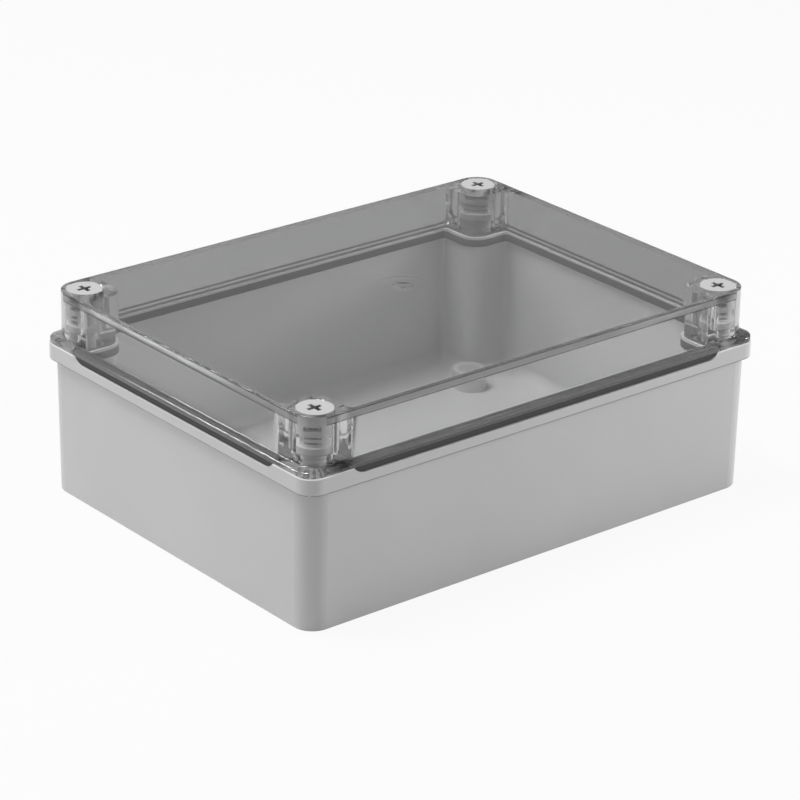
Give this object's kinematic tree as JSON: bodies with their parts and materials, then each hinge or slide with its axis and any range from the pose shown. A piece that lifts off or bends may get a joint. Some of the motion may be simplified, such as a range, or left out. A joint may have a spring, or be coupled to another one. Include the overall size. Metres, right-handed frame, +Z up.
{
  "type": "hinged enclosure",
  "caption": "Rectangular electrical enclosure: light-grey moulded base with collar, clear high lid on captive screws, and hinge screws along one long side.",
  "frame": {"origin": "centre of the underside of the base, at floor level", "axes": "+X along the long side, +Y towards the hinged long side, +Z up through the lid"},
  "size_m": [0.2022, 0.1522, 0.0763],
  "materials": {
    "base_grey": "fine satin moulded light grey",
    "lid_clear": "polished clear polycarbonate with a slight smoke tint",
    "gasket_rubber": "matte mid-grey foam rubber",
    "screw_grey": "satin light-grey nylon",
    "plug_grey": "matte mid grey",
    "pin_steel": "plain drawn steel"
  },
  "bodies": {
    "base": {"base_shell": "base_grey", "screw_socket_front_left": "screw_grey", "screw_socket_front_right": "screw_grey", "screw_socket_rear_left": "screw_grey", "screw_socket_rear_right": "screw_grey", "fixing_plug_front_left": "plug_grey", "fixing_plug_front_right": "plug_grey", "fixing_plug_rear_left": "plug_grey", "fixing_plug_rear_right": "plug_grey"},
    "hinge_studs": {"hinge_stud_left": "screw_grey", "hinge_stud_right": "screw_grey"},
    "lid": {"lid_shell": "lid_clear", "lid_gasket": "gasket_rubber", "hinge_screw_head_left": "screw_grey", "hinge_screw_head_right": "screw_grey", "hinge_pin_left": "pin_steel", "hinge_pin_right": "pin_steel", "screw_washer_front_left": "screw_grey", "screw_washer_front_right": "screw_grey", "screw_washer_rear_left": "screw_grey", "screw_washer_rear_right": "screw_grey"},
    "lock_left": {"lock_screw_left": "screw_grey"},
    "lock_right": {"lock_screw_right": "screw_grey"}
  },
  "joints": [
    {"name": "stud_draw", "type": "slide", "parent": "base", "child": "hinge_studs", "axis": [0, 0, 1], "range_m": [0, 0.0224]},
    {"name": "lid_hinge", "type": "hinge", "parent": "hinge_studs", "child": "lid", "pos_m": [0, 0.0652, 0.0517], "axis": [-1, 0, 0], "range_deg": [0, 90]},
    {"name": "lock_left_turn", "type": "hinge", "parent": "lid", "child": "lock_left", "pos_m": [-0.0902, -0.0652, 0.0763], "axis": [0, 0, 1], "range_deg": [0, 90]},
    {"name": "lock_right_turn", "type": "hinge", "parent": "lid", "child": "lock_right", "pos_m": [0.0902, -0.0652, 0.0763], "axis": [0, 0, 1], "range_deg": [0, 90]}
  ],
  "couplings": [
    {"joint": "stud_draw", "follows": "lid_hinge", "m_per_rad": 0.0142}
  ]
}
